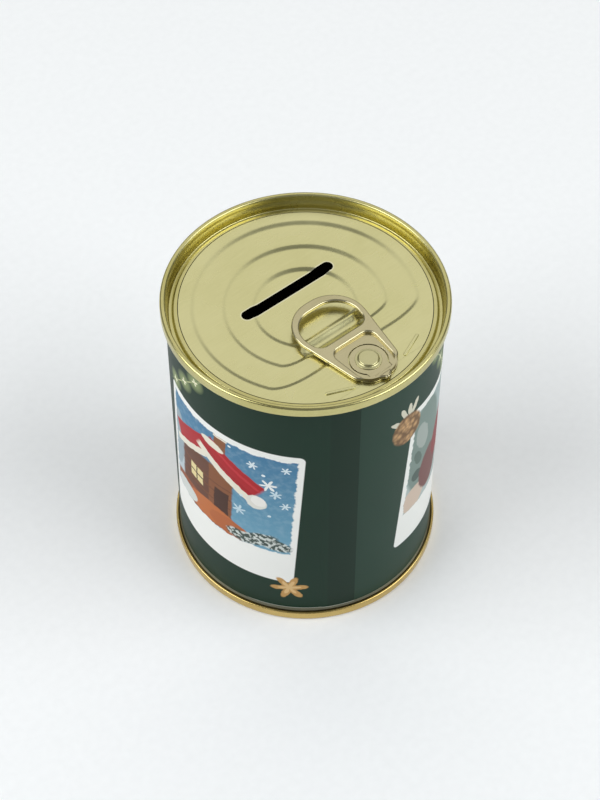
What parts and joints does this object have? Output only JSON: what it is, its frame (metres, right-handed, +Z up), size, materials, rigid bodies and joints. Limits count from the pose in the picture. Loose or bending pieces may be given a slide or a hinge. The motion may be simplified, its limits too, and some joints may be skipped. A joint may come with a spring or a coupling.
{
  "type": "tin money box",
  "caption": "Round tinplate can used as a money box, with double-seamed ends, a ring-pull lid with a coin slot, and a paper label.",
  "frame": {"origin": "centre of the circle that the bottom seam rests on", "axes": "+Z up along the can's axis; the tab's nose points along -Y; the coin slot runs along X"},
  "size_m": [0.076, 0.076, 0.0956],
  "materials": {
    "tube_tinplate": "bright tinplate, clear lacquer",
    "gold_lacquered_tinplate": "satin gold lacquer",
    "tab_tinplate": "satin, bright on its rolled edges",
    "sealing_compound": "dull",
    "label_paper": "coated, semi-gloss",
    "lap_glue": "dry dextrin-like film"
  },
  "bodies": {
    "can": {"can_body": "tube_tinplate", "top_end_ring": "gold_lacquered_tinplate", "bottom_end": "gold_lacquered_tinplate", "top_seam_compound": "sealing_compound", "bottom_seam_compound": "sealing_compound", "label": "label_paper", "label_lap_glue": "lap_glue"},
    "panel": {"tear_panel": "gold_lacquered_tinplate", "tab_tongue": "tab_tinplate"},
    "lip": {"pry_lip": "gold_lacquered_tinplate"},
    "tab": {"pull_tab": "tab_tinplate"}
  },
  "joints": [
    {"name": "panel_peel", "type": "hinge", "parent": "can", "child": "panel", "pos_m": [0, 0.0334, 0.09225], "axis": [-1, 0, 0], "range_deg": [0, 80]},
    {"name": "tab_lift", "type": "hinge", "parent": "panel", "child": "tab", "pos_m": [0, -0.03025, 0.0924], "axis": [1, 0, 0], "range_deg": [0, 75]},
    {"name": "lip_fold", "type": "hinge", "parent": "panel", "child": "lip", "pos_m": [0, -0.02995, 0.09201], "axis": [1, 0, 0], "range_deg": [0, 90]}
  ],
  "couplings": [
    {"joint": "lip_fold", "follows": "tab_lift", "ratio": 1.2}
  ]
}
